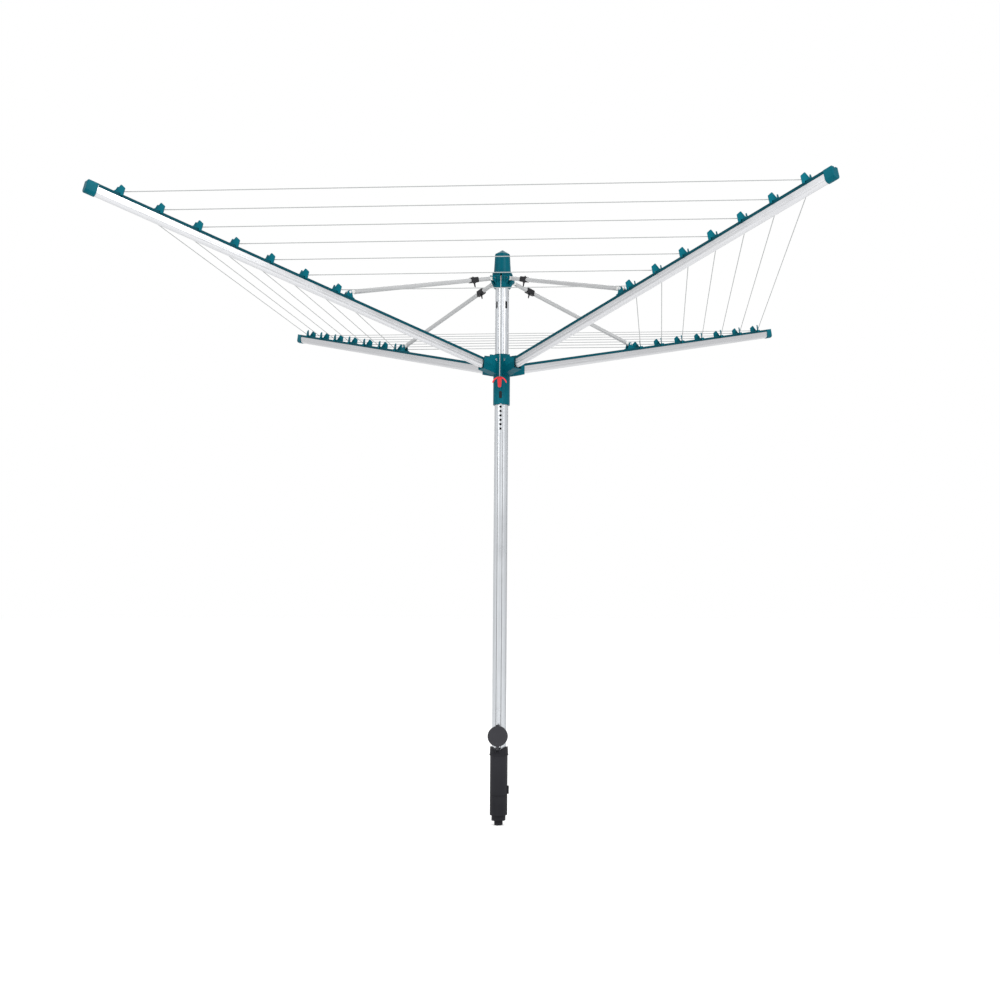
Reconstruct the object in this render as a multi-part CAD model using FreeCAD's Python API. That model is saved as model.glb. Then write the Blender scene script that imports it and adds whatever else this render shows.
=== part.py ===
import FreeCAD, Part
import math
import os

from FreeCAD import Vector

# Rotary clothesline: a mast that turns in a ground socket, four tilted arms pinned to a sliding hub,
# four struts that hang the arms from a crown, and seven line runs between each arm and the next.
# Millimetres. +Z is up. The origin is on the mast's axis, at ground level. The arms stand on the diagonals.

# ---- driving dimensions ----
ARM_AZIMUTHS = [45.0, 135.0, 225.0, 315.0]

MAST_R = 25.0
MAST_WALL = 2.0
MAST_SEAM_Z = 218.0
MAST_TOP_Z = 1730.0
SPIGOT_LENGTH = 50.0
GROOVE_WIDTH = 2.4
GROOVE_DEPTH = 0.7
GROOVE_SPREAD = 21.0

RUNNING = 0.08
PIN_R = 3.0
PIN_RUNNING = 0.05

PIVOT_R = 40.0
HUB_PIVOT_Z = 1420.0
CROWN_PIVOT_Z = 1726.0
STRUT_PIVOT_R = 645.0

ARM_ROOT_R = 80.0
ARM_ROOT_Z = 1400.0
ARM_TILT = 13.306
ARM_LENGTH = 1447.0
ARM_HALF = 12.5
ARM_TOP = 15.5
ARM_BOTTOM = -17.0
ARM_STEP = 0.8
ARM_WALL = 1.6
PLUG_HEIGHTS = (-8.5, 12.5)
COVER_HALF = 13.5
COVER_TOP = 20.0
COVER_LIP = 10.5
CAP_LENGTH = 32.0
CAP_HALF = 13.9
CAP_TOP = 20.2
CAP_BOTTOM = -18.8

GUIDES_PER_ARM = 7
GUIDE_OUTER_R = 1435.0
GUIDE_PITCH_R = 121.0
GUIDE_FOOT = (-18.0, 2.0)
GUIDE_FOOT_RISE = 3.5
WING_START = 5.0
WING_PEAK = 16.5
WING_END = 31.0
WING_HEIGHT = 26.0
WING_END_RISE = 18.0
WING_DROP = 6.0
WING_CLEAR = 22.3
WING_HALF = 2.0
WING_SWEEP = 45.0
LINE_R = 1.4
LINE_RISE = 6.0
LINE_GAP = 1.3

STRUT_R = 8.0
STRUT_WALL = 1.2
STRUT_TUBE_START = 22.0
TONGUE_HALF = 5.0
CLEVIS_INNER = 5.5
EYE_R = 7.5
CLIP_R = 130.0
CLIP_LENGTH = 34.0

HUB_BOTTOM_Z = 1258.5
HUB_SLEEVE_TOP_Z = 1376.0
HUB_CORE_TOP_Z = 1439.0
HUB_TOP_Z = 1445.0
HUB_SLEEVE_R = 30.5
HUB_CORE_R = 29.0
HUB_BORE_R = 25.6
BUSH_R = 27.0
BUSH_LENGTH = 10.0
BUSH_STARTS = (1262.5, 1421.0)
BRACKET_ROOT_R = 20.0
BRACKET_R = 93.0
BRACKET_INNER = 14.3
BRACKET_OUTER = 18.3
BRACKET_FLOOR = (-21.0, -17.6)
BRACKET_BEAD = (4.0, 7.0)

CROWN_Z = 1693.0
CROWN_SKIRT_R = 42.0
CROWN_SKIRT_TOP_Z = 1734.0
FLUTE_HALF = 1.4
FLUTE_FLOOR_R = 36.0
CROWN_TOP_Z = 1749.0
CAP_TOP_Z = 1838.0

PULLEY_Y = -35.0
PULLEY_Z = 1726.0
PULLEY_R = 7.0
CORD_R = 1.25
HANDLE_Y = -58.0
HANDLE_TOP_Z = 1354.0

SOCKET_R = 31.3
SOCKET_DEPTH = 208.0
SOCKET_GROOVE = (-141.0, -138.0)
SOCKET_GROOVE_DEPTH = 0.8
COLLAR_R = 32.7
COLLAR_HORN_Z = 30.0
COLLAR_DIP_Z = 20.0
LID_PIN_Y = -37.0
LID_PIN_Z = 24.0
LID_R = 35.75
LID_Z = 69.5

LATCH_Z = 1293.0
LATCH_PIN_DROP = 9.0
LATCH_HOLES = 6
LATCH_HOLE_Z = 1249.5
LATCH_HOLE_PITCH = 16.1
LATCH_HOLE_HALF_WIDTH = 4.2
LATCH_HOLE_HALF_HEIGHT = 3.9

# ---- worked-out sizes ----
ORIGIN = Vector(0, 0, 0)
X_AXIS = Vector(1, 0, 0)
Y_AXIS = Vector(0, 1, 0)
Z_AXIS = Vector(0, 0, 1)

MAST_BORE_R = MAST_R - MAST_WALL
STRUT_PIVOT_Z = (HUB_PIVOT_Z + CROWN_PIVOT_Z) / 2
STRUT_REACH = STRUT_PIVOT_R - PIVOT_R
STRUT_DROP = CROWN_PIVOT_Z - STRUT_PIVOT_Z
STRUT_LENGTH = math.hypot(STRUT_REACH, STRUT_DROP)
STRUT_TILT = math.degrees(math.atan2(STRUT_DROP, STRUT_REACH))
PIN_BORE_R = PIN_R + PIN_RUNNING
LINE_REACH = (WING_END + LINE_GAP) * math.sin(math.radians(WING_SWEEP))


def along_arm(r, z):
    """A point of the arm's upright plane, as its distance along the arm and its height over the middle."""
    tilt = math.radians(ARM_TILT)
    out, up = r - ARM_ROOT_R, z - ARM_ROOT_Z
    return out * math.cos(tilt) + up * math.sin(tilt), up * math.cos(tilt) - out * math.sin(tilt)


def under_arm(r, rise):
    """The height, at a radius, of a line parallel to the arm and rise above the arm's middle."""
    tilt = math.radians(ARM_TILT)
    return ARM_ROOT_Z + (r - ARM_ROOT_R) * math.tan(tilt) + rise / math.cos(tilt)


def guide_places():
    """Distances along the arm to the middle of each line guide, the outermost first."""
    tilt = math.radians(ARM_TILT)
    lean = (COVER_TOP + LINE_RISE) * math.sin(tilt)
    radii = [GUIDE_OUTER_R - GUIDE_PITCH_R * i for i in range(GUIDES_PER_ARM)]
    return [(r - ARM_ROOT_R + lean) / math.cos(tilt) for r in radii]


# ---- drawing helpers ----
def cylinder(r, start, end, centre=(0.0, 0.0)):
    """A round bar along Z."""
    return Part.makeCylinder(r, end - start, Vector(centre[0], centre[1], start), Z_AXIS)


def ring(outer, inner, start, end):
    """A round tube along Z, on the mast's axis."""
    return cylinder(outer, start, end).cut(cylinder(inner, start - 1, end + 1))


def block(x, y, z):
    """A box from its (low, high) pairs."""
    return Part.makeBox(x[1] - x[0], y[1] - y[0], z[1] - z[0], Vector(x[0], y[0], z[0]))


def cross_bar(r, x, z, start, end):
    """A round bar along Y."""
    return Part.makeCylinder(r, end - start, Vector(x, start, z), Y_AXIS)


def long_bar(r, start, end, y=0.0, z=0.0):
    """A round bar along X."""
    return Part.makeCylinder(r, end - start, Vector(start, y, z), X_AXIS)


def plate(outline, start, end):
    """An outline of (x, z) points, made into a plate between two values of y."""
    wire = Part.makePolygon([Vector(x, start, z) for x, z in outline + outline[:1]])
    return Part.Face(wire).extrude(Vector(0, end - start, 0))


def plate_pair(outline, inner, outer):
    """Two equal plates, one on each side of the middle plane."""
    return [plate(outline, inner, outer), plate(outline, -outer, -inner)]


def turned(profile):
    """A solid of revolution about Z from a closed profile of (radius, z) points."""
    wire = Part.makePolygon([Vector(r, 0, z) for r, z in profile + profile[:1]])
    return Part.Face(wire).revolve(ORIGIN, Z_AXIS, 360)


def joined(shapes):
    """One solid from touching or overlapping shapes."""
    return shapes[0].multiFuse(shapes[1:]).removeSplitter()


def on_azimuth(shape, azimuth):
    """A copy turned about the mast's axis."""
    turned_copy = shape.copy()
    turned_copy.rotate(ORIGIN, Z_AXIS, azimuth)
    return turned_copy


def tilted(shape, pitch, r, z):
    """A copy of a shape drawn along +X, tilted up by pitch, with its origin at a radius and a height."""
    placed = shape.copy()
    placed.rotate(ORIGIN, Y_AXIS, -pitch)
    placed.translate(Vector(r, 0, z))
    return placed


def on_arm(shape, azimuth):
    """A shape drawn in the arm's own frame, put on the arm."""
    return on_azimuth(tilted(shape, ARM_TILT, ARM_ROOT_R, ARM_ROOT_Z), azimuth)


def on_strut(shape, azimuth):
    """A shape drawn along the strut from the crown's pivot, put on the strut."""
    return on_azimuth(tilted(shape, -STRUT_TILT, PIVOT_R, CROWN_PIVOT_Z), azimuth)


def filleted(shape, radius, wanted):
    """A shape with the edges that wanted(edge) picks rounded off."""
    return shape.makeFillet(radius, [edge for edge in shape.Edges if wanted(edge)])


def save(name, *solids):
    """Write one sub-part; several solids make a group."""
    shape = solids[0] if len(solids) == 1 else Part.makeCompound(list(solids))
    assert shape.isValid(), name
    shape.exportStep(f"parts/{name}.step")


# ---- ground socket and lid ----
def socket_sleeve():
    """The buried sleeve: a stepped tube with a drain hole, one lug against turning and a groove below it."""
    floor_z = -SOCKET_DEPTH + 9.5
    outside = [(0, 0), (SOCKET_R, 0), (SOCKET_R, -SOCKET_DEPTH), (25.2, -SOCKET_DEPTH), (25.2, -227),
               (15.2, -227), (15.2, -243), (0, -243)]
    lug = block((SOCKET_R - 3, SOCKET_R + 4.7), (-5, 5), (-135, -107))
    groove = ring(SOCKET_R + 1, SOCKET_R - SOCKET_GROOVE_DEPTH, *SOCKET_GROOVE)
    body = joined([turned(outside), lug]).cut(groove)
    body = body.cut(cylinder(MAST_R + RUNNING, floor_z, 1))
    body = body.cut(cylinder(18, -221, floor_z + 1))
    return body.cut(cylinder(5, -250, -200))


def socket_collar():
    """The collar over the sleeve, its rim falling in a V to the front and back, with two hinge ears."""
    flange = [(MAST_R + 0.6, 0), (34, 0), (34, 3), (COLLAR_R, 4.5), (COLLAR_R - 1, COLLAR_HORN_Z),
              (MAST_R + 2, COLLAR_HORN_Z), (MAST_R + 0.6, COLLAR_HORN_Z - 3)]
    notch = plate([(0, COLLAR_DIP_Z), (COLLAR_R + 2, COLLAR_HORN_Z + 1), (COLLAR_R + 2, 45),
                   (-COLLAR_R - 2, 45), (-COLLAR_R - 2, COLLAR_HORN_Z + 1)], -40, 40)
    body = turned(flange).cut(notch)
    bore = cylinder(MAST_R + 0.6, -1, 60)
    for side in (-1, 1):
        near, far = sorted((side * 5.4, side * 9.0))
        ear = block((near, far), (LID_PIN_Y, -28), (12, LID_PIN_Z + 4)).fuse(
            long_bar(4, near, far, LID_PIN_Y, LID_PIN_Z))
        body = body.fuse(ear.cut(bore))
    body = body.removeSplitter()
    return body.cut(long_bar(1.5, -12, 12, LID_PIN_Y, LID_PIN_Z))


def lid_pin():
    """The hinge pin of the lid."""
    return long_bar(1.5, -9.5, 9.5, LID_PIN_Y, LID_PIN_Z)


def socket_lid():
    """The round lid, standing open: a disc with a plug rim, a hinge barrel and a finger tab."""
    face_y = LID_PIN_Y - 4
    disc = cross_bar(LID_R, 0, LID_Z, face_y, LID_PIN_Y)
    rim = cross_bar(LID_R, 0, LID_Z, LID_PIN_Y - 1, LID_PIN_Y + 5).cut(
        cross_bar(LID_R - 2.2, 0, LID_Z, LID_PIN_Y - 2, LID_PIN_Y + 6))
    neck = block((-5, 5), (face_y, LID_PIN_Y), (LID_PIN_Z, LID_Z - LID_R + 4))
    barrel = long_bar(3.4, -5, 5, LID_PIN_Y, LID_PIN_Z)
    tab = block((-7, 7), (face_y, LID_PIN_Y), (LID_Z + LID_R - 2, LID_Z + LID_R + 4))
    body = joined([disc, rim, neck, barrel, tab])
    return body.cut(long_bar(1.5 + PIN_RUNNING, -12, 12, LID_PIN_Y, LID_PIN_Z))


# ---- mast ----
def fluted(tube, start, end):
    """A mast tube with its eight long grooves."""
    cutters = []
    for side in (0, 90, 180, 270):
        for spread in (-GROOVE_SPREAD, GROOVE_SPREAD):
            groove = block((MAST_R - GROOVE_DEPTH, MAST_R + 2), (-GROOVE_WIDTH / 2, GROOVE_WIDTH / 2),
                           (start - 1, end + 1))
            cutters.append(on_azimuth(groove, side + spread))
    return tube.cut(Part.makeCompound(cutters))


def mast_foot():
    """The lower tube, from the socket's floor to the seam, with a spigot for the upper tube."""
    bottom_z = -SOCKET_DEPTH + 10
    tube = fluted(ring(MAST_R, 21, bottom_z, MAST_SEAM_Z), bottom_z, MAST_SEAM_Z)
    spigot = ring(MAST_BORE_R - 0.05, 21, MAST_SEAM_Z - 1, MAST_SEAM_Z + SPIGOT_LENGTH)
    return joined([tube, spigot])


def mast_tube():
    """The upper tube: latch holes and two slots in its front wall."""
    tube = fluted(ring(MAST_R, MAST_BORE_R, MAST_SEAM_Z, MAST_TOP_Z), MAST_SEAM_Z, MAST_TOP_Z)
    heights = [LATCH_HOLE_Z - LATCH_HOLE_PITCH * i for i in range(LATCH_HOLES)] + [LATCH_Z - LATCH_PIN_DROP]
    cutters = [block((-LATCH_HOLE_HALF_WIDTH, LATCH_HOLE_HALF_WIDTH), (-30, -10),
                     (z - LATCH_HOLE_HALF_HEIGHT, z + LATCH_HOLE_HALF_HEIGHT)) for z in heights]
    for x in (-17, 17):
        slot = block((x - 3.2, x + 3.2), (-30, -10), (1618, 1639))
        for end_z in (1618, 1639):
            slot = slot.fuse(cross_bar(3.2, x, end_z, -30, -10))
        cutters.append(slot)
    return tube.cut(Part.makeCompound(cutters))


def crown_flutes():
    """The narrow upright grooves of the crown's skirt, between its clevises."""
    flutes = []
    for side in (0, 90, 180, 270):
        for spread in (-25, -15, 15, 25):
            flute = block((FLUTE_FLOOR_R, 50), (-FLUTE_HALF, FLUTE_HALF), (CROWN_Z - 1, CROWN_SKIRT_TOP_Z - 3))
            flutes.append(on_azimuth(flute, side + spread))
    return flutes


def strut_room():
    """The room one strut needs in the crown: narrow for the tongue, wider low down for the folded tube."""
    tongue = block((31.5, 60), (-CLEVIS_INNER, CLEVIS_INNER), (CROWN_Z - 1, CROWN_SKIRT_TOP_Z))
    tube = block((31.5, 60), (-STRUT_R - 0.8, STRUT_R + 0.8), (CROWN_Z - 1, 1706))
    return tongue.fuse(tube)


def crown():
    """The crown on the mast's top: a fluted skirt round the tube, four clevises and the pulley's fork."""
    bore_r = MAST_R + 0.02
    core = [(bore_r, CROWN_Z), (HUB_CORE_R, CROWN_Z), (31, CROWN_Z + 2), (CROWN_SKIRT_R - 1, 1717),
            (CROWN_SKIRT_R, 1719), (CROWN_SKIRT_R, CROWN_SKIRT_TOP_Z - 1), (CROWN_SKIRT_R - 1, CROWN_SKIRT_TOP_Z),
            (33, CROWN_SKIRT_TOP_Z), (35, CROWN_TOP_Z - 4), (37, CROWN_TOP_Z - 4), (37, CROWN_TOP_Z),
            (0, CROWN_TOP_Z), (0, CROWN_TOP_Z - 8), (bore_r, CROWN_TOP_Z - 8)]
    clevis = [(27, 1706), (34, 1706), (50, 1720), (50, CROWN_SKIRT_TOP_Z + 2), (27, CROWN_SKIRT_TOP_Z + 2)]
    fork = [(27, 1716), (41, 1716), (41, CROWN_TOP_Z - 4), (27, CROWN_TOP_Z - 4)]
    pieces = [turned(core).cut(Part.makeCompound(crown_flutes()))]
    for azimuth in ARM_AZIMUTHS:
        pieces += [on_azimuth(cheek, azimuth) for cheek in plate_pair(clevis, CLEVIS_INNER, CLEVIS_INNER + 4)]
    pieces += [on_azimuth(cheek, 270) for cheek in plate_pair(fork, 4.6, 7.2)]
    body = joined(pieces)
    cutters = [cylinder(bore_r, CROWN_Z - 1, CROWN_TOP_Z - 8)]
    for azimuth in ARM_AZIMUTHS:
        cutters.append(on_azimuth(cross_bar(PIN_R, PIVOT_R, CROWN_PIVOT_Z, -12, 12), azimuth))
        cutters.append(on_azimuth(strut_room(), azimuth))
    cutters.append(long_bar(1.5, -9, 9, PULLEY_Y, PULLEY_Z))
    cutters.append(block((-4.6, 4.6), (PULLEY_Y - 12, PULLEY_Y + PULLEY_R + 2.2),
                         (PULLEY_Z - 10, PULLEY_Z + 10)))
    cutters.append(block((-4.6, 4.6), (-60, -FLUTE_FLOOR_R), (CROWN_Z - 1, PULLEY_Z - 9)))
    cutters.append(block((-2.6, 2.6), (PULLEY_Y - 2, -20), (PULLEY_Z + 4, CROWN_TOP_Z - 8)))
    for cutter in cutters:
        body = body.cut(cutter)
    return body


def crown_pins():
    """The four strut pins, and the pulley's axle."""
    pins = [on_azimuth(cross_bar(PIN_R, PIVOT_R, CROWN_PIVOT_Z, -11, 11), azimuth) for azimuth in ARM_AZIMUTHS]
    return pins + [long_bar(1.5, -7.8, 7.8, PULLEY_Y, PULLEY_Z)]


def crown_cap():
    """The tall hollow cap on the crown, tapering up to a pointed roof."""
    outside = [(26, CROWN_TOP_Z), (32.2, CROWN_TOP_Z), (32.2, CROWN_TOP_Z + 2), (31.4, CROWN_TOP_Z + 3),
               (27.6, 1819), (26.8, 1822), (3, CAP_TOP_Z - 0.7), (0, CAP_TOP_Z)]
    inside = [(0, CAP_TOP_Z - 3), (24.2, 1819.5), (28.4, CROWN_TOP_Z + 3), (26, CROWN_TOP_Z + 3)]
    return turned(outside + inside)


def cord_pulley():
    """The grooved wheel that the pull cord runs over."""
    wheel = long_bar(PULLEY_R + 1.4, -4.2, 4.2, PULLEY_Y, PULLEY_Z)
    groove = long_bar(PULLEY_R + 3, -1.7, 1.7, PULLEY_Y, PULLEY_Z).cut(
        long_bar(PULLEY_R - CORD_R - 0.15, -2, 2, PULLEY_Y, PULLEY_Z))
    return wheel.cut(groove).cut(long_bar(1.5 + PIN_RUNNING, -6, 6, PULLEY_Y, PULLEY_Z))


def pull_cord():
    """The pull cord: from inside the mast, over the pulley and down to the handle."""
    low = Vector(0, HANDLE_Y, HANDLE_TOP_Z + 0.2)
    centre = Vector(0, PULLEY_Y, PULLEY_Z)
    reach = centre - low
    # the straight run meets the pulley where its radius is square to the run
    slant = math.atan2(reach.y, reach.z)
    swing = math.asin(PULLEY_R / reach.Length)
    lean = slant - swing
    on_wheel = centre + Vector(0, -math.cos(lean), math.sin(lean)) * PULLEY_R
    over = centre + Vector(0, 0, PULLEY_R)
    mid_angle = (math.pi / 2 + lean) / 2
    on_arc = centre + Vector(0, -math.cos(mid_angle), math.sin(mid_angle)) * PULLEY_R
    inner = Vector(0, -9, over.z)
    bend_r = 9.0
    bend_mid = Vector(0, inner.y + bend_r * math.sin(math.pi / 4), inner.z - bend_r * (1 - math.cos(math.pi / 4)))
    bend_end = Vector(0, inner.y + bend_r, inner.z - bend_r)
    path = Part.Wire([
        Part.LineSegment(low, on_wheel).toShape(),
        Part.Arc(on_wheel, on_arc, over).toShape(),
        Part.LineSegment(over, inner).toShape(),
        Part.Arc(inner, bend_mid, bend_end).toShape(),
        Part.LineSegment(bend_end, bend_end - Vector(0, 0, 30)).toShape(),
    ])
    section = Part.Wire(Part.makeCircle(CORD_R, low, on_wheel - low))
    tube = path.makePipeShell([section], True, False)
    print(f"pull cord {path.Length:.1f} mm long, radii {PULLEY_R} and {bend_r};",
          f"volume over section times length {tube.Volume / (math.pi * CORD_R ** 2 * path.Length):.4f}")
    return tube


def pull_handle():
    """The pull handle: an arched grip bar on a thick stem with a rounded end."""
    arch_r, bar, half_deep = 27.5, 4.2, 3.0
    arch_z = HANDLE_TOP_Z - arch_r
    stem_z = HANDLE_TOP_Z - 33
    arch = cross_bar(arch_r, 0, arch_z, HANDLE_Y - half_deep, HANDLE_Y + half_deep).cut(
        cross_bar(arch_r - bar, 0, arch_z - 0.6, HANDLE_Y - 5, HANDLE_Y + 5))
    keep = block((-26, 26), (HANDLE_Y - 5, HANDLE_Y + 5), (HANDLE_TOP_Z - 22, HANDLE_TOP_Z + 1))
    arch = arch.common(keep)
    stem = Part.makeCone(6.2, 8.6, 27.5, Vector(0, HANDLE_Y, stem_z), Z_AXIS)
    bulb = Part.makeSphere(6.4, Vector(0, HANDLE_Y, stem_z))
    neck = Part.makeCone(8.6, 3.2, 5.5, Vector(0, HANDLE_Y, HANDLE_TOP_Z - 5.5), Z_AXIS)
    return joined([arch, stem, bulb, neck])


# ---- hub ----
def latch_window():
    """The opening in the hub's sleeve that the latch lever rocks in."""
    half_w, half_h = 5.4, 8.0
    window = block((-half_w, half_w), (-40, -20), (LATCH_Z - half_h, LATCH_Z + half_h))
    for end in (-half_h, half_h):
        window = window.fuse(cross_bar(half_w, 0, LATCH_Z + end, -40, -20))
    return window


def hub_body():
    """The sliding hub: a long sleeve, and four brackets with two cheeks and a floor under the arm each."""
    low, high = BRACKET_FLOOR
    cheek = [(BRACKET_ROOT_R, under_arm(BRACKET_ROOT_R, low)), (BRACKET_R, under_arm(BRACKET_R, low)),
             (BRACKET_R, 1416), (88, 1422), (68, 1426), (66, 1436), (BRACKET_ROOT_R, 1438)]
    floor = [(BRACKET_ROOT_R, under_arm(BRACKET_ROOT_R, low)), (BRACKET_R, under_arm(BRACKET_R, low)),
             (BRACKET_R, under_arm(BRACKET_R, high)), (BRACKET_ROOT_R, under_arm(BRACKET_ROOT_R, high))]
    bead = [(r, under_arm(r, rise)) for r, rise in ((50, BRACKET_BEAD[0]), (90, BRACKET_BEAD[0]),
                                                    (90, BRACKET_BEAD[1]), (50, BRACKET_BEAD[1]))]
    pieces = [cylinder(HUB_SLEEVE_R, HUB_BOTTOM_Z, HUB_SLEEVE_TOP_Z),
              cylinder(HUB_CORE_R, HUB_SLEEVE_TOP_Z - 6, HUB_CORE_TOP_Z),
              cylinder(27.6, HUB_CORE_TOP_Z - 5, HUB_TOP_Z)]
    for azimuth in ARM_AZIMUTHS:
        parts = plate_pair(cheek, BRACKET_INNER, BRACKET_OUTER)
        parts += plate_pair(bead, BRACKET_OUTER - 1, BRACKET_OUTER + 0.9)
        parts.append(plate(floor, -BRACKET_OUTER, BRACKET_OUTER))
        pieces += [on_azimuth(part, azimuth) for part in parts]
    body = joined(pieces)
    cutters = [cylinder(HUB_BORE_R, HUB_BOTTOM_Z - 5, HUB_TOP_Z + 5)]
    cutters += [cylinder(BUSH_R, start, start + BUSH_LENGTH) for start in BUSH_STARTS]
    for azimuth in ARM_AZIMUTHS:
        cutters.append(on_azimuth(cross_bar(PIN_R, PIVOT_R, HUB_PIVOT_Z, -24, 24), azimuth))
    cutters.append(block((-4.5, 4.5), (-40, -29.4), (HUB_BOTTOM_Z + 2, 1362)))
    cutters.append(block((-5.5, 5.5), (-40, -20), (HUB_BOTTOM_Z - 1, HUB_BOTTOM_Z + 3)))
    cutters.append(latch_window())
    cutters.append(long_bar(1.25, -9, 9, -28.2, LATCH_Z))
    return body.cut(Part.makeCompound(cutters[:1])).cut(Part.makeCompound(cutters[1:]))


def hub_bushes():
    """The two slide rings in the hub's bore."""
    return [ring(BUSH_R, MAST_R + RUNNING, start, start + BUSH_LENGTH) for start in BUSH_STARTS]


def hub_pins():
    """The four pins that hold the arms in the hub, each with a head at both ends."""
    pins = []
    for azimuth in ARM_AZIMUTHS:
        shank = cross_bar(PIN_R, PIVOT_R, HUB_PIVOT_Z, -BRACKET_OUTER, BRACKET_OUTER)
        heads = [cross_bar(4.8, PIVOT_R, HUB_PIVOT_Z, BRACKET_OUTER, BRACKET_OUTER + 1.6),
                 cross_bar(4.8, PIVOT_R, HUB_PIVOT_Z, -BRACKET_OUTER - 1.6, -BRACKET_OUTER)]
        pins.append(on_azimuth(joined([shank] + heads), azimuth))
    return pins


def latch_lever():
    """The latch: a rocker in the sleeve's window, with its lock pin at the lower end."""
    half_w, half_h = 4.9, 8.0
    rocker = block((-half_w, half_w), (-30.9, -27.0), (LATCH_Z - half_h, LATCH_Z + half_h))
    for end in (-half_h, half_h):
        rocker = rocker.fuse(cross_bar(half_w, 0, LATCH_Z + end, -30.9, -27.0))
    rocker = rocker.fuse(cross_bar(2.5, 0, LATCH_Z - LATCH_PIN_DROP, -28, -25.6))
    rocker = rocker.fuse(long_bar(1.2, -7.5, 7.5, -28.2, LATCH_Z))
    return rocker.removeSplitter()


# ---- arms ----
def arm_section(inset):
    """The arm's cross-section, drawn in from its outside by inset: straight sides with a step, a round bottom."""
    wide = ARM_HALF - inset
    slim = wide - ARM_STEP
    corner = ARM_BOTTOM + inset + slim
    points = [(wide, ARM_TOP - inset), (wide, -1.0), (slim, -2.6), (slim, corner)]
    right = [Vector(0, y, z) for y, z in points]
    left = [Vector(0, -y, z) for y, z in reversed(points)]
    edges = [Part.LineSegment(a, b).toShape() for a, b in zip(right, right[1:])]
    edges.append(Part.Arc(right[-1], Vector(0, 0, ARM_BOTTOM + inset), left[0]).toShape())
    edges += [Part.LineSegment(a, b).toShape() for a, b in zip(left, left[1:])]
    edges.append(Part.LineSegment(left[-1], right[0]).toShape())
    return Part.Face(Part.Wire(edges))


def arm_tube():
    """The arm's hollow profile."""
    outer = arm_section(0.0).extrude(Vector(ARM_LENGTH, 0, 0))
    inner = arm_section(ARM_WALL).extrude(Vector(ARM_LENGTH + 2, 0, 0))
    inner.translate(Vector(-1, 0, 0))
    return outer.cut(inner)


def arm_cover():
    """The strip clipped over the arm's top, with a lip down each side."""
    strip = block((0, ARM_LENGTH - 1), (-COVER_HALF, COVER_HALF), (COVER_LIP, COVER_TOP))
    strip = strip.cut(block((-1, ARM_LENGTH), (-ARM_HALF, ARM_HALF), (COVER_LIP - 1, ARM_TOP)))
    return filleted(strip, 1.2, lambda e: e.Length > ARM_LENGTH - 5
                    and e.CenterOfMass.z > COVER_TOP - 0.1)


def guide_wing(side):
    """One wing of a line guide: an upright plate swept inboard and sideways, its tip clear of the strip."""
    low, base = COVER_TOP - WING_DROP, COVER_TOP
    outline = [(WING_START, base), (WING_CLEAR, base), (WING_CLEAR, low), (WING_END, low),
               (WING_END, base + WING_END_RISE), (WING_PEAK + 3, base + WING_HEIGHT),
               (WING_PEAK, base + WING_HEIGHT), (WING_START, base + GUIDE_FOOT_RISE)]
    wing = plate(outline, -WING_HALF, WING_HALF)
    wing.rotate(ORIGIN, Z_AXIS, 180 - side * WING_SWEEP)
    return wing


def line_guides():
    """The seven guides: two swept wings on a low foot."""
    foot = block(GUIDE_FOOT, (-COVER_HALF + 1, COVER_HALF - 1), (COVER_TOP, COVER_TOP + GUIDE_FOOT_RISE))
    guide = joined([foot, guide_wing(1), guide_wing(-1)])
    guides = []
    for place in guide_places():
        placed = guide.copy()
        placed.translate(Vector(place, 0, 0))
        guides.append(placed)
    return guides


def end_cap():
    """The cap on the arm's tip: a block with a round bottom, plugged into the tube."""
    start, end = ARM_LENGTH, ARM_LENGTH + CAP_LENGTH
    right = [Vector(start, CAP_HALF, CAP_TOP), Vector(start, CAP_HALF, CAP_BOTTOM + 9)]
    left = [Vector(start, -CAP_HALF, CAP_BOTTOM + 9), Vector(start, -CAP_HALF, CAP_TOP)]
    outline = Part.Wire([
        Part.LineSegment(right[0], right[1]).toShape(),
        Part.Arc(right[1], Vector(start, 0, CAP_BOTTOM), left[0]).toShape(),
        Part.LineSegment(left[0], left[1]).toShape(),
        Part.LineSegment(left[1], right[0]).toShape(),
    ])
    body = Part.Face(outline).extrude(Vector(end - start, 0, 0))
    body = filleted(body, 2.5, lambda e: e.CenterOfMass.x > end - 0.1)
    notch = block((end - 6, end + 1), (-4, 4), (CAP_TOP - 4, CAP_TOP + 1))
    plug = block((start - 18, start + 1), (-9.3, 9.3), PLUG_HEIGHTS)
    return joined([body.cut(notch), plug])


def arm_root():
    """The insert at the arm's inner end: an eye for the hub's pin, a shoulder and a plug in the tube."""
    eye_s, eye_w = along_arm(PIVOT_R, HUB_PIVOT_Z)
    half = 13.0
    eye = cross_bar(9, eye_s, eye_w, -half, half)
    neck = plate([(eye_s - 7.5, eye_w - 5), (eye_s + 5, eye_w + 7.5), (-0.5, ARM_TOP), (-0.5, ARM_BOTTOM + 2),
                  (-12, ARM_BOTTOM + 2)], -half, half)
    plug = block((-1, 42), (-9.3, 9.3), PLUG_HEIGHTS)
    body = joined([eye, neck, plug])
    return body.cut(cross_bar(PIN_BORE_R, eye_s, eye_w, -20, 20))


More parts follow.
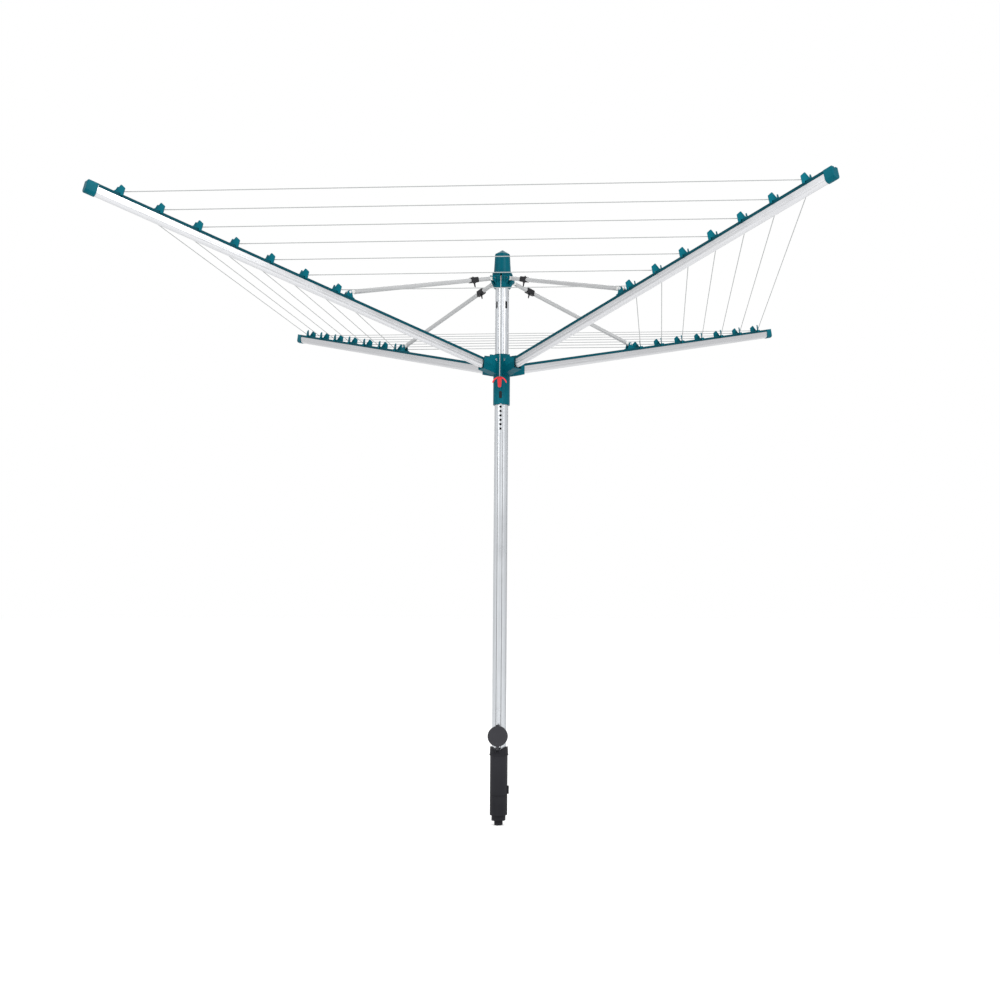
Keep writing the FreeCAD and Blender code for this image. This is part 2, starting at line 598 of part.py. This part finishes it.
def strut_bracket():
    """The bracket on the arm that the strut's outer end is pinned in."""
    s, w = along_arm(STRUT_PIVOT_R, STRUT_PIVOT_Z)
    half = COVER_HALF - 0.5
    base = block((s - 19, s + 15), (-half, half), (COVER_TOP, COVER_TOP + 3))
    cheek = [(s - 17, COVER_TOP + 2), (s + 13, COVER_TOP + 2), (s + 6.5, w + 3), (s - 6.5, w + 3)]
    pieces = [base] + plate_pair(cheek, CLEVIS_INNER, CLEVIS_INNER + 3.4)
    for side in (-1, 1):
        near, far = sorted((side * CLEVIS_INNER, side * (CLEVIS_INNER + 3.4)))
        pieces.append(cross_bar(7, s, w, near, far))
    return joined(pieces).cut(cross_bar(PIN_R, s, w, -20, 20))


def bracket_pin():
    """The pin through the strut bracket, with a head at both ends."""
    s, w = along_arm(STRUT_PIVOT_R, STRUT_PIVOT_Z)
    edge = CLEVIS_INNER + 3.4
    return joined([cross_bar(PIN_R, s, w, -edge, edge), cross_bar(4.4, s, w, edge, edge + 1.6),
                   cross_bar(4.4, s, w, -edge - 1.6, -edge)])


def line_end(azimuth, place, side):
    """Where a line run meets the tip of a guide's wing, in the model's frame."""
    point = Part.Vertex(place - LINE_REACH, side * LINE_REACH, COVER_TOP + LINE_RISE)
    return on_arm(point, azimuth).Point


def drying_lines(azimuth):
    """The seven straight runs from one arm to the next."""
    runs = []
    for place in guide_places():
        start = line_end(azimuth, place, 1)
        end = line_end(azimuth + 90, place, -1)
        runs.append(Part.makeCylinder(LINE_R, (end - start).Length, start, end - start))
    return runs


# ---- struts ----
def strut_tube():
    """The strut's round tube."""
    end = STRUT_LENGTH - STRUT_TUBE_START
    outer = long_bar(STRUT_R, STRUT_TUBE_START, end)
    return outer.cut(long_bar(STRUT_R - STRUT_WALL, STRUT_TUBE_START - 1, end + 1))


def strut_ends():
    """The two tongues in the strut's ends, each with an eye."""
    def tongue():
        eye = cross_bar(EYE_R, 0, 0, -TONGUE_HALF, TONGUE_HALF)
        web = block((0, STRUT_TUBE_START), (-TONGUE_HALF, TONGUE_HALF), (-6, 6))
        plug = long_bar(STRUT_R - STRUT_WALL - 0.02, STRUT_TUBE_START - 0.2, STRUT_TUBE_START + 24)
        return joined([eye, web, plug]).cut(cross_bar(PIN_BORE_R, 0, 0, -9, 9))
    inner = tongue()
    outer = tongue()
    outer.rotate(ORIGIN, Z_AXIS, 180)
    outer.translate(Vector(STRUT_LENGTH, 0, 0))
    return [inner, outer]


def hanger_clip():
    """The clip near the strut's inner end: a saddle on the tube, a peg below, a nub above, a side tab."""
    middle = (CLIP_R - PIVOT_R) / math.cos(math.radians(STRUT_TILT))
    low, high = middle - CLIP_LENGTH / 2, middle + CLIP_LENGTH / 2
    saddle = filleted(block((low, high), (-9.8, 9.8), (-9.4, 9.8)), 2.5, lambda e: True)
    peg = Part.makeCone(3.4, 2.0, 18, Vector(middle, 0, -8.2), Vector(0, 0, -1))
    nub = cylinder(2.6, 8.5, 13, (middle + 2, 0))
    tab = block((high - 3, high + 4), (-6, 6), (-9.4, -6.4))
    foot = cylinder(5.2, -11.5, -8, (middle, 0))
    body = joined([saddle, peg, nub, tab, foot])
    return body.cut(long_bar(STRUT_R + 0.05, low - 1, high + 6))


# ---- write the sub-parts ----
def main():
    os.makedirs("parts", exist_ok=True)
    save("socket_sleeve", socket_sleeve())
    save("socket_collar", socket_collar())
    save("lid_pin", lid_pin())
    save("socket_lid", socket_lid())
    save("mast_foot", mast_foot())
    save("mast_tube", mast_tube())
    save("crown", crown())
    save("crown_pins", *crown_pins())
    save("crown_cap", crown_cap())
    save("cord_pulley", cord_pulley())
    save("pull_cord", pull_cord())
    save("pull_handle", pull_handle())
    save("hub_body", hub_body())
    save("hub_bushes", *hub_bushes())
    save("hub_pins", *hub_pins())
    save("latch_lever", latch_lever())
    arm_parts = {
        "arm_tube": [arm_tube()],
        "arm_cover": [arm_cover()],
        "line_guides": line_guides(),
        "end_cap": [end_cap()],
        "arm_root": [arm_root()],
        "strut_bracket": [strut_bracket()],
        "bracket_pin": [bracket_pin()],
    }
    strut_parts = {
        "strut_tube": [strut_tube()],
        "strut_ends": strut_ends(),
        "hanger_clip": [hanger_clip()],
    }
    for number, azimuth in enumerate(ARM_AZIMUTHS, start=1):
        for name, solids in arm_parts.items():
            save(f"{name}_{number}", *[on_arm(solid, azimuth) for solid in solids])
        for name, solids in strut_parts.items():
            save(f"{name}_{number}", *[on_strut(solid, azimuth) for solid in solids])
        save(f"drying_lines_{number}", *drying_lines(azimuth))


main()
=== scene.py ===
import math

import bmesh
import bpy
from mathutils import Matrix, Vector


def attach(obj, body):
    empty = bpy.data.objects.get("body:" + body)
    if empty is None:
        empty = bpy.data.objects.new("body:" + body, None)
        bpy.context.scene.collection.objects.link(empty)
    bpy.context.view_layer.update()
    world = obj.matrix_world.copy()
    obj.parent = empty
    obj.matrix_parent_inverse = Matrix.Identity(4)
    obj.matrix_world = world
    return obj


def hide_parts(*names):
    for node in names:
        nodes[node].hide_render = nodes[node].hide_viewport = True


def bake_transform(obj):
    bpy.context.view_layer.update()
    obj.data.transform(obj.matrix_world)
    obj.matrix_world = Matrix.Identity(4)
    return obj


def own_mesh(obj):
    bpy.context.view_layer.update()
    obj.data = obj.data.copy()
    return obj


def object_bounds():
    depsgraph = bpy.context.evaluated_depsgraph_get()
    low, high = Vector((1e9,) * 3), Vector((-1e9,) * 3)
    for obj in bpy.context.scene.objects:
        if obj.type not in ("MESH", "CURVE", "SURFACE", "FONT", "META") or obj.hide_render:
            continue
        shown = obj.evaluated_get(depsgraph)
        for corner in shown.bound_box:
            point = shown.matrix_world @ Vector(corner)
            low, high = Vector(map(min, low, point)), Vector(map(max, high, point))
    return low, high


# Rotary clothesline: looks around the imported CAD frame. Metres, +Z up, the pull handle on the -Y side.

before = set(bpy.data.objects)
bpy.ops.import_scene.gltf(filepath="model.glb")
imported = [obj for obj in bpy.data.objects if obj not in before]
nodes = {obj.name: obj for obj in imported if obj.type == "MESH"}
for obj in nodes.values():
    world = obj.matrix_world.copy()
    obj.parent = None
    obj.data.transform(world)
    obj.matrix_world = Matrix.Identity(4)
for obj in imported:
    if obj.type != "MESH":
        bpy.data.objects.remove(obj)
cad_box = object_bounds()

# ---- sizes shared with the CAD ----
ARM_AZIMUTHS = (45.0, 135.0, 225.0, 315.0)
ARM_TILT = math.radians(13.306)
ARM_ROOT_R = 0.080
ARM_ROOT_Z = 1.400
COVER_TOP = 0.020  # the arm cover's top, above the line through the arm's root pin
GUIDE_OUTER_R = 1.435  # the outermost guide, from the mast's axis
GUIDE_PITCH_R = 0.121
GUIDES_PER_ARM = 7
WING_END = 0.031  # a wing's tip, from its guide's place on the arm
WING_SWEEP = math.radians(45.0)
LINE_RISE = 0.006  # the lines, above the arm cover
LINE_DIAMETER = 0.0028
PULL_CORD_TOP = (0.0, -0.0432, 1.712)
PULL_CORD_END = (0.0, -0.058, 1.3542)
PULL_CORD_DIAMETER = 0.0025

# ---- sizes of the looks alone ----
BORE_SHADE_R = 0.0231  # the mast's faces nearer to its axis than this are its bore, coloured near black as painted shade
GROOVE_SHADE_R = 0.0247  # and those from there to this are the floors of its grooves, coloured darker as painted shade
LINE_GAP = 0.0004  # between a line's end and its wing's tip
LINE_STEP = 0.05  # between a drying line's rings
PULL_CORD_STEP = 0.01
FLOOR_GAP = 0.0005  # under the sleeve's foot
FLOOR_HALF = 40.0


# ---- camera ----
def make_camera():
    """The camera, low in front and looking slightly up; its shift holds the off-centre framing."""
    data = bpy.data.cameras.new("camera")
    data.sensor_width = 36.0
    data.lens = 44.745
    data.shift_x = -0.0940
    data.shift_y = -0.0249
    camera = bpy.data.objects.new("camera", data)
    camera.location = (0.5801, -4.4788, 0.5647)
    camera.rotation_euler = (math.radians(95.54), 0.0, math.radians(3.078))
    bpy.context.scene.collection.objects.link(camera)
    bpy.context.scene.camera = camera


make_camera()


# ---- mesh helpers ----
def new_object(name, mesh, smooth=True):
    """An object for a finished mesh, in the scene."""
    for polygon in mesh.polygons:
        polygon.use_smooth = smooth
    piece = bpy.data.objects.new(name, mesh)
    bpy.context.scene.collection.objects.link(piece)
    return piece


def route_points(name, points):
    """The line of a cord: points read from a smooth NURBS spline through the route."""
    curve = bpy.data.curves.new(name, "CURVE")
    curve.dimensions = "3D"
    curve.resolution_u = 16
    spline = curve.splines.new("NURBS")
    spline.points.add(len(points) - 1)
    for place, point in zip(spline.points, points):
        place.co = (*point, 1.0)
    spline.order_u = min(3, len(points))
    spline.use_endpoint_u = True
    holder = bpy.data.objects.new(name, curve)
    bpy.context.scene.collection.objects.link(holder)
    bpy.context.view_layer.update()
    line = bpy.data.meshes.new_from_object(holder)
    found = [vertex.co.copy() for vertex in line.vertices]
    bpy.data.objects.remove(holder)
    bpy.data.curves.remove(curve)
    bpy.data.meshes.remove(line)
    return found


def evenly(points, step):
    """The same line with its long runs divided, so that a pattern and a pose have points to work on."""
    result = [points[0]]
    for a, b in zip(points, points[1:]):
        count = max(1, round((b - a).length / step))
        result += [a.lerp(b, i / count) for i in range(1, count + 1)]
    return result


def tube_mesh(name, points, radius, sides=10):
    """A round tube with closed ends along a line, with U round it and V along it in metres."""
    mesh = bpy.data.meshes.new(name)
    bm = bmesh.new()
    uv = bm.loops.layers.uv.new("UVMap")
    tangents = [(points[min(i + 1, len(points) - 1)] - points[max(i - 1, 0)]).normalized()
                for i in range(len(points))]
    side = tangents[0].orthogonal().normalized()
    rings, travelled = [], [0.0]
    for i, (point, tangent) in enumerate(zip(points, tangents)):
        if i:
            side = (side - tangent * side.dot(tangent)).normalized()
            travelled.append(travelled[-1] + (point - points[i - 1]).length)
        across = tangent.cross(side)
        ring = []
        for k in range(sides):
            angle = 2 * math.pi * k / sides
            ring.append(bm.verts.new(point + (side * math.cos(angle) + across * math.sin(angle)) * radius))
        rings.append(ring)
    for i in range(len(rings) - 1):
        for k in range(sides):
            j = (k + 1) % sides
            face = bm.faces.new((rings[i][k], rings[i][j], rings[i + 1][j], rings[i + 1][k]))
            corners = ((k, i), (k + 1, i), (k + 1, i + 1), (k, i + 1))
            for loop, (u, v) in zip(face.loops, corners):
                loop[uv].uv = (u / sides, travelled[v])
    bm.faces.new(list(reversed(rings[0])))
    bm.faces.new(rings[-1])
    bm.to_mesh(mesh)
    bm.free()
    return mesh


# ---- cords ----
def line_end(azimuth, number, side):
    """Where a drying line meets a guide's wing: side is 1 towards the next arm, -1 towards the last."""
    rise = COVER_TOP + LINE_RISE
    reach = (WING_END + LINE_GAP) * math.sin(WING_SWEEP)
    guide_r = GUIDE_OUTER_R - GUIDE_PITCH_R * number
    along = (guide_r - ARM_ROOT_R + rise * math.sin(ARM_TILT)) / math.cos(ARM_TILT) - reach
    radius = ARM_ROOT_R + along * math.cos(ARM_TILT) - rise * math.sin(ARM_TILT)
    height = ARM_ROOT_Z + along * math.sin(ARM_TILT) + rise * math.cos(ARM_TILT)
    turn = Matrix.Rotation(math.radians(azimuth), 3, "Z")
    return turn @ Vector((radius, side * reach, height))


def make_drying_lines(material):
    """Twenty-eight taut runs, each attached to the arm it starts from so that it moves with that arm as the
    dryer folds.
    """
    for arm, azimuth in enumerate(ARM_AZIMUTHS, start=1):
        for number in range(GUIDES_PER_ARM):
            start = line_end(azimuth, number, 1)
            end = line_end(azimuth + 90, number, -1)
            name = f"drying_line_{arm}_{number + 1}"
            points = evenly(route_points(name, [start, end]), LINE_STEP)
            piece = new_object(name, tube_mesh(name, points, LINE_DIAMETER / 2))
            piece.data.materials.append(material)
            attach(piece, f"arm_{arm}")
            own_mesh(piece)
        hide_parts(f"drying_lines_{arm}")


def make_pull_cord(material):
    """The pull cord, from the handle up, over the crown's wheel and down inside the mast."""
    route = [PULL_CORD_END, PULL_CORD_TOP, (0, -0.0421, 1.7331), (0, -0.029, 1.7331),
             (0, -0.0002, 1.7330), (0, 0, 1.718), (0, 0, 1.6945)]
    points = evenly(route_points("pull_cord", [Vector(p) for p in route]), PULL_CORD_STEP)
    piece = new_object("pull_cord", tube_mesh("pull_cord", points, PULL_CORD_DIAMETER / 2, sides=12))
    piece.data.materials.append(material)
    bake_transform(piece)
    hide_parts("pull_cord")


# ---- materials ----
def new_material(name):
    """A material with its shader: (material, nodes, links, principled)."""
    material = bpy.data.materials.new(name)
    material.use_nodes = True
    tree = material.node_tree
    return material, tree.nodes, tree.links, tree.nodes["Principled BSDF"]


def ramp(nodes_, low, high, low_at=0.3, high_at=0.7):
    """A two-colour ramp."""
    node = nodes_.new("ShaderNodeValToRGB")
    for element, position, colour in zip(node.color_ramp.elements, (low_at, high_at), (low, high)):
        element.position = position
        element.color = (*colour, 1.0)
    return node


def stretched_noise(nodes_, links, scale, stretch=(1, 1, 1), rotation=(0, 0, 0), detail=3.0):
    """Noise in the object's own coordinates, turned and then stretched along its axes."""
    coordinates = nodes_.new("ShaderNodeTexCoord")
    turn = nodes_.new("ShaderNodeMapping")
    turn.vector_type = "TEXTURE"
    turn.inputs["Rotation"].default_value = rotation
    squeeze = nodes_.new("ShaderNodeMapping")
    squeeze.inputs["Scale"].default_value = stretch
    noise = nodes_.new("ShaderNodeTexNoise")
    noise.inputs["Scale"].default_value = scale
    noise.inputs["Detail"].default_value = detail
    links.new(coordinates.outputs["Object"], turn.inputs["Vector"])
    links.new(turn.outputs["Vector"], squeeze.inputs["Vector"])
    links.new(squeeze.outputs["Vector"], noise.inputs["Vector"])
    return noise


def add_bump(nodes_, links, shader, height, strength, distance=0.0005, bevel=None):
    """A bump from a height output, over a rounded-edge normal where bevel gives its radius."""
    bump = nodes_.new("ShaderNodeBump")
    bump.inputs["Strength"].default_value = strength
    bump.inputs["Distance"].default_value = distance
    links.new(height, bump.inputs["Height"])
    if bevel:
        edge = nodes_.new("ShaderNodeBevel")
        edge.samples = 4
        edge.inputs["Radius"].default_value = bevel
        links.new(edge.outputs["Normal"], bump.inputs["Normal"])
    links.new(bump.outputs["Normal"], shader.inputs["Normal"])


def plastic(name, colour, darker, roughness=(0.30, 0.44), grain=900.0, grain_strength=0.25, bevel=0.0007,
            specular=0.35):
    """Moulded plastic: slow colour drift, fine grain, convex edges slightly lighter in colour (by
    pointiness) and rounded.
    """
    material, nodes_, links, shader = new_material(name)
    drift = stretched_noise(nodes_, links, 14.0)
    tone = ramp(nodes_, darker, colour, 0.32, 0.62)
    links.new(drift.outputs["Fac"], tone.inputs["Fac"])
    geometry = nodes_.new("ShaderNodeNewGeometry")
    edges = ramp(nodes_, (0, 0, 0), (1, 1, 1), 0.53, 0.62)
    links.new(geometry.outputs["Pointiness"], edges.inputs["Fac"])
    lighten = nodes_.new("ShaderNodeMix")
    lighten.data_type = "RGBA"
    links.new(edges.outputs["Color"], lighten.inputs["Factor"])
    links.new(tone.outputs["Color"], lighten.inputs["A"])
    lighten.inputs["B"].default_value = tuple(c * 1.2 + 0.001 for c in colour) + (1.0,)
    links.new(lighten.outputs["Result"], shader.inputs["Base Color"])
    fine = stretched_noise(nodes_, links, grain, detail=2.0)
    rough = nodes_.new("ShaderNodeMapRange")
    rough.inputs["To Min"].default_value = roughness[0]
    rough.inputs["To Max"].default_value = roughness[1]
    links.new(drift.outputs["Fac"], rough.inputs["Value"])
    links.new(rough.outputs["Result"], shader.inputs["Roughness"])
    shader.inputs["Specular IOR Level"].default_value = specular
    add_bump(nodes_, links, shader, fine.outputs["Fac"], grain_strength, 0.0002, bevel)
    return material


def extruded_aluminium(name, colour, rotation=(0, 0, 0), stretch=(1, 1, 0.012), roughness=(0.26, 0.42)):
    """Extruded aluminium: die lines that run along the profile, faint handling marks."""
    material, nodes_, links, shader = new_material(name)
    lines = stretched_noise(nodes_, links, 420.0, stretch, rotation, 4.0)
    marks = stretched_noise(nodes_, links, 9.0, (1, 1, 1), rotation, 5.0)
    tone = ramp(nodes_, tuple(c * 0.90 for c in colour), colour, 0.35, 0.65)
    links.new(lines.outputs["Fac"], tone.inputs["Fac"])
    links.new(tone.outputs["Color"], shader.inputs["Base Color"])
    shader.inputs["Metallic"].default_value = 1.0
    rough = nodes_.new("ShaderNodeMapRange")
    rough.inputs["From Min"].default_value = 0.3
    rough.inputs["From Max"].default_value = 0.7
    rough.inputs["To Min"].default_value = roughness[0]
    rough.inputs["To Max"].default_value = roughness[1]
    links.new(marks.outputs["Fac"], rough.inputs["Value"])
    links.new(rough.outputs["Result"], shader.inputs["Roughness"])
    add_bump(nodes_, links, shader, lines.outputs["Fac"], 0.18, 0.0002, 0.0004)
    return material


def painted_strut(name, rotation):
    """A grey coated tube with faint long streaks."""
    material, nodes_, links, shader = new_material(name)
    streaks = stretched_noise(nodes_, links, 260.0, (0.02, 1, 1), rotation, 3.0)
    tone = ramp(nodes_, (0.27, 0.275, 0.28), (0.36, 0.365, 0.37), 0.3, 0.7)
    links.new(streaks.outputs["Fac"], tone.inputs["Fac"])
    links.new(tone.outputs["Color"], shader.inputs["Base Color"])
    shader.inputs["Roughness"].default_value = 0.38
    shader.inputs["Coat Weight"].default_value = 0.25
    shader.inputs["Coat Roughness"].default_value = 0.25
    orange = stretched_noise(nodes_, links, 700.0)
    add_bump(nodes_, links, shader, orange.outputs["Fac"], 0.12, 0.0002, 0.0004)
    return material


def turned_steel(name):
    """Turned steel pins: fine rings and a soft gloss."""
    material, nodes_, links, shader = new_material(name)
    rings = stretched_noise(nodes_, links, 1600.0, detail=2.0)
    tone = ramp(nodes_, (0.55, 0.56, 0.58), (0.80, 0.81, 0.83))
    links.new(rings.outputs["Fac"], tone.inputs["Fac"])
    links.new(tone.outputs["Color"], shader.inputs["Base Color"])
    shader.inputs["Metallic"].default_value = 1.0
    shader.inputs["Roughness"].default_value = 0.3
    add_bump(nodes_, links, shader, rings.outputs["Fac"], 0.15, 0.0001, 0.0004)
    return material


def cord_material(name, light, dark, pitch, strength, turns=3.0):
    """A cord's sheath: two shallow twists that cross as they run round and along it."""
    material, nodes_, links, shader = new_material(name)
    uv = nodes_.new("ShaderNodeUVMap")
    uv.uv_map = "UVMap"
    split = nodes_.new("ShaderNodeSeparateXYZ")
    links.new(uv.outputs["UV"], split.inputs["Vector"])
    along = nodes_.new("ShaderNodeMath")
    along.operation = "MULTIPLY"
    along.inputs[1].default_value = 1.0 / pitch
    links.new(split.outputs["Y"], along.inputs[0])
    heights = []
    for direction in (1.0, -1.0):
        round_ = nodes_.new("ShaderNodeMath")
        round_.operation = "MULTIPLY_ADD"
        round_.inputs[1].default_value = direction * turns
        links.new(split.outputs["X"], round_.inputs[0])
        links.new(along.outputs[0], round_.inputs[2])
        full = nodes_.new("ShaderNodeMath")
        full.operation = "MULTIPLY"
        full.inputs[1].default_value = 2 * math.pi
        links.new(round_.outputs[0], full.inputs[0])
        wave = nodes_.new("ShaderNodeMath")
        wave.operation = "SINE"
        links.new(full.outputs[0], wave.inputs[0])
        heights.append(wave)
    weave = nodes_.new("ShaderNodeMath")
    weave.operation = "MAXIMUM"
    links.new(heights[0].outputs[0], weave.inputs[0])
    links.new(heights[1].outputs[0], weave.inputs[1])
    scaled = nodes_.new("ShaderNodeMapRange")
    scaled.inputs["From Min"].default_value = -1.0
    links.new(weave.outputs[0], scaled.inputs["Value"])
    tone = ramp(nodes_, dark, light, 0.1, 0.8)
    links.new(scaled.outputs["Result"], tone.inputs["Fac"])
    links.new(tone.outputs["Color"], shader.inputs["Base Color"])
    shader.inputs["Roughness"].default_value = 0.5
    add_bump(nodes_, links, shader, scaled.outputs["Result"], strength, 0.0002)
    return material


def stage_material(name, value, glow):
    """A plain pale surface with a barely visible mottle, lit a little from within so that it stays white."""
    material, nodes_, links, shader = new_material(name)
    mottle = stretched_noise(nodes_, links, 2.0)
    tone = ramp(nodes_, (value * 0.985,) * 3, (value,) * 3)
    links.new(mottle.outputs["Fac"], tone.inputs["Fac"])
    links.new(tone.outputs["Color"], shader.inputs["Base Color"])
    shader.inputs["Roughness"].default_value = 0.9
    shader.inputs["Specular IOR Level"].default_value = 0.1
    shader.inputs["Emission Color"].default_value = (1.0, 1.0, 1.0, 1.0)
    shader.inputs["Emission Strength"].default_value = glow
    return material


TEAL = (0.0, 0.078, 0.106)
TEAL_DARK = (0.0, 0.054, 0.078)
STRIP = (0.0, 0.040, 0.056)
STRIP_DARK = (0.0, 0.031, 0.044)

teal_plastic = plastic("teal_plastic", TEAL, TEAL_DARK, (0.34, 0.46), specular=0.05)
teal_strip = plastic("teal_strip", STRIP, STRIP_DARK, (0.42, 0.55), specular=0.05)
red_plastic = plastic("red_plastic", (0.50, 0.024, 0.028), (0.40, 0.015, 0.019), specular=0.25)
clip_plastic = plastic("clip_plastic", (0.012, 0.012, 0.014), (0.007, 0.007, 0.009), (0.35, 0.5),
                       specular=0.15)
bush_plastic = plastic("bush_plastic", (0.50, 0.50, 0.49), (0.42, 0.42, 0.41), (0.35, 0.5))
charcoal_plastic = plastic("charcoal_plastic", (0.015, 0.015, 0.018), (0.009, 0.009, 0.011), (0.45, 0.6),
                           grain=600.0, grain_strength=0.5, specular=0.08)
lid_plastic = plastic("lid_plastic", (0.028, 0.028, 0.032), (0.018, 0.018, 0.021), (0.4, 0.52),
                      grain=700.0, grain_strength=0.4, specular=0.1)
steel_pin = turned_steel("steel_pin")
mast_aluminium = extruded_aluminium("mast_aluminium", (0.55, 0.57, 0.595))
line_cord = cord_material("line_cord", (0.30, 0.31, 0.31), (0.20, 0.21, 0.21), pitch=0.012, strength=0.35)
pull_cord_braid = cord_material("pull_cord_braid", (0.36, 0.37, 0.37), (0.22, 0.23, 0.23), pitch=0.005,
                                strength=0.7, turns=4.0)

make_drying_lines(line_cord)
make_pull_cord(pull_cord_braid)


def paint(node, material):
    """Give a CAD node one finish."""
    mesh = nodes[node].data
    mesh.materials.clear()
    mesh.materials.append(material)


def paint_shade_inside(node, material, radius):
    """Give the faces nearer to the mast's axis than radius a material of their own; here darker ones that
    paint shade into the mast's grooves and bore.
    """
    mesh = nodes[node].data
    mesh.materials.append(material)
    for polygon in mesh.polygons:
        if all(math.hypot(*mesh.vertices[i].co[:2]) < radius for i in polygon.vertices):
            polygon.material_index = len(mesh.materials) - 1


NODE_FINISHES = {
    "socket_sleeve": charcoal_plastic, "socket_collar": charcoal_plastic, "socket_lid": lid_plastic,
    "lid_pin": steel_pin, "mast_foot": mast_aluminium, "mast_tube": mast_aluminium,
    "crown": teal_plastic, "crown_pins": steel_pin, "crown_cap": teal_plastic,
    "cord_pulley": clip_plastic, "pull_handle": red_plastic,
    "hub_body": teal_plastic, "hub_bushes": bush_plastic, "hub_pins": steel_pin,
    "latch_lever": clip_plastic,
}
for node_name, finish in NODE_FINISHES.items():
    paint(node_name, finish)

# Painted shade: a darker aluminium for the floors of the mast's grooves, in place of the shade in them.
groove_painted_shade = extruded_aluminium("mast_groove_painted_shade", (0.17, 0.17, 0.175), roughness=(0.4, 0.5))
# Painted shade: a near-black aluminium for the mast's bore, in place of the shadow inside the tube.
bore_painted_shade = extruded_aluminium("mast_bore_painted_shade", (0.03, 0.03, 0.032), roughness=(0.6, 0.75))
for tube in ("mast_foot", "mast_tube"):
    paint_shade_inside(tube, groove_painted_shade, GROOVE_SHADE_R)
    paint_shade_inside(tube, bore_painted_shade, BORE_SHADE_R)

for arm, azimuth in enumerate(ARM_AZIMUTHS, start=1):
    along_arm = (0.0, -ARM_TILT, math.radians(azimuth))
    arm_metal = extruded_aluminium(f"arm_aluminium_{arm}", (0.56, 0.565, 0.58), along_arm, (0.012, 1, 1))
    paint(f"arm_tube_{arm}", arm_metal)
    paint(f"arm_cover_{arm}", teal_strip)
    paint(f"line_guides_{arm}", teal_plastic)
    paint(f"end_cap_{arm}", teal_plastic)
    paint(f"arm_root_{arm}", clip_plastic)
    paint(f"strut_bracket_{arm}", teal_plastic)
    paint(f"bracket_pin_{arm}", steel_pin)
    paint(f"strut_tube_{arm}", painted_strut(f"strut_white_{arm}", (0.0, ARM_TILT, math.radians(azimuth))))
    paint(f"strut_ends_{arm}", bush_plastic)
    paint(f"hanger_clip_{arm}", clip_plastic)


# ---- stage and light ----
def make_stage():
    """A wide pale floor at the sleeve's foot, which meets the white surround far behind."""
    floor_z = cad_box[0][2] - FLOOR_GAP
    mesh = bpy.data.meshes.new("stage")
    corners = [(x * FLOOR_HALF, y * FLOOR_HALF, floor_z) for x, y in ((-1, -1), (1, -1), (1, 1), (-1, 1))]
    mesh.from_pydata(corners, [], [(0, 1, 2, 3)])
    stage = new_object("stage", mesh, smooth=False)
    stage.data.materials.append(stage_material("stage_paint", value=0.93, glow=0.09))


def area_light(name, place, target, size, power):
    """A square soft white light aimed at a point."""
    data = bpy.data.lights.new(name, "AREA")
    data.size = size
    data.energy = power
    light = bpy.data.objects.new(name, data)
    light.location = place
    light.rotation_euler = (Vector(target) - Vector(place)).to_track_quat("-Z", "Y").to_euler()
    bpy.context.scene.collection.objects.link(light)


def make_light():
    """A bright even studio: a white surround, a key from the front right, a weak fill and a back light."""
    world = bpy.data.worlds.new("world")
    world.use_nodes = True
    background = world.node_tree.nodes["Background"]
    background.inputs["Color"].default_value = (1.0, 1.0, 1.0, 1.0)
    background.inputs["Strength"].default_value = 1.0
    bpy.context.scene.world = world
    area_light("key", (3.2, -4.0, 3.6), target=(0, 0, 1.2), size=1.6, power=170)
    area_light("fill", (-3.6, -3.8, 3.0), target=(0, 0, 1.0), size=2.0, power=90)
    area_light("back", (0.0, 4.0, 4.5), target=(0, 0, 1.2), size=3.0, power=60)


make_stage()
make_light()
bpy.context.scene.view_settings.view_transform = "Standard"
